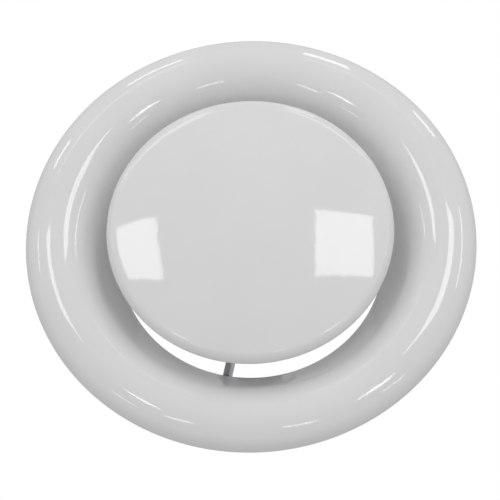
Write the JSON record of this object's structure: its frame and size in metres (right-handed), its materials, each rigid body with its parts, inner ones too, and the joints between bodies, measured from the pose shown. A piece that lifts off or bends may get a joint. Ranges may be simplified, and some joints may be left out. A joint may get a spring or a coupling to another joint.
{
  "type": "ceiling air diffuser",
  "caption": "White sheet-steel disc valve for a round ventilation duct, with a rolled ring, a screw-adjusted domed disc and a flanged mounting collar.",
  "frame": {"origin": "centre of the screw-hole circle in the ceiling plane, on the valve's axis; the rim's back edge and the back of the collar's flange lie in this plane", "axes": "+Z along the valve's axis, out of the face into the room; the duct is on the -Z side; X and Y lie in the ceiling plane. The part lies on its back as in the picture, and is turned over about X to hang in a ceiling"},
  "size_m": [0.14, 0.14, 0.0647],
  "materials": {
    "white_powder_coat": "smooth glossy white powder coat",
    "zinc_plated_steel": "bright zinc plating",
    "spring_steel": "satin stainless spring steel",
    "galvanized_steel": "hot-dip galvanized sheet with a fine spangle",
    "rubber_seal": "matt black EPDM",
    "foam_seal": "closed-cell foam, dark grey"
  },
  "bodies": {
    "collar": {"mounting_collar": "galvanized_steel"},
    "valve": {"valve_ring": "white_powder_coat", "rim_gasket": "foam_seal", "neck_seal": "rubber_seal", "spindle_bridge": "zinc_plated_steel", "bridge_rivets": "zinc_plated_steel", "bridge_bush": "zinc_plated_steel", "spring_clip_1": "spring_steel", "spring_clip_2": "spring_steel", "spring_clip_3": "spring_steel", "clip_rivets": "zinc_plated_steel"},
    "hub_washer": {"hub_washer": "zinc_plated_steel"},
    "disc": {"valve_disc": "white_powder_coat", "disc_hub_cup": "zinc_plated_steel", "spindle": "zinc_plated_steel", "hub_spring_washer": "spring_steel", "hub_jam_nut": "zinc_plated_steel", "end_stop_clip": "spring_steel"},
    "lock_washer": {"lock_washer": "zinc_plated_steel"},
    "lock_nut": {"lock_nut": "zinc_plated_steel"}
  },
  "joints": [
    {"name": "valve_pull_out", "type": "slide", "parent": "collar", "child": "valve", "axis": [0, 0, 1], "range_m": [0, 0.06]},
    {"name": "disc_travel", "type": "slide", "parent": "valve", "child": "hub_washer", "axis": [0, 0, 1], "range_m": [-0.01301, 0.00801]},
    {"name": "disc_turn", "type": "hinge", "parent": "hub_washer", "child": "disc", "pos_m": [0, 0, 0], "axis": [0, 0, 1], "range_deg": [-3744, 2304]},
    {"name": "lock_nut_travel", "type": "slide", "parent": "valve", "child": "lock_washer", "axis": [0, 0, 1], "range_m": [-0.00125, 0]},
    {"name": "lock_nut_turn", "type": "hinge", "parent": "lock_washer", "child": "lock_nut", "pos_m": [0, 0, -0.025], "axis": [0, 0, 1], "range_deg": [-360, 0]}
  ],
  "couplings": [
    {"joint": "disc_travel", "follows": "disc_turn", "m_per_rad": 0.00019894},
    {"joint": "lock_nut_travel", "follows": "lock_nut_turn", "m_per_rad": 0.00019894}
  ]
}
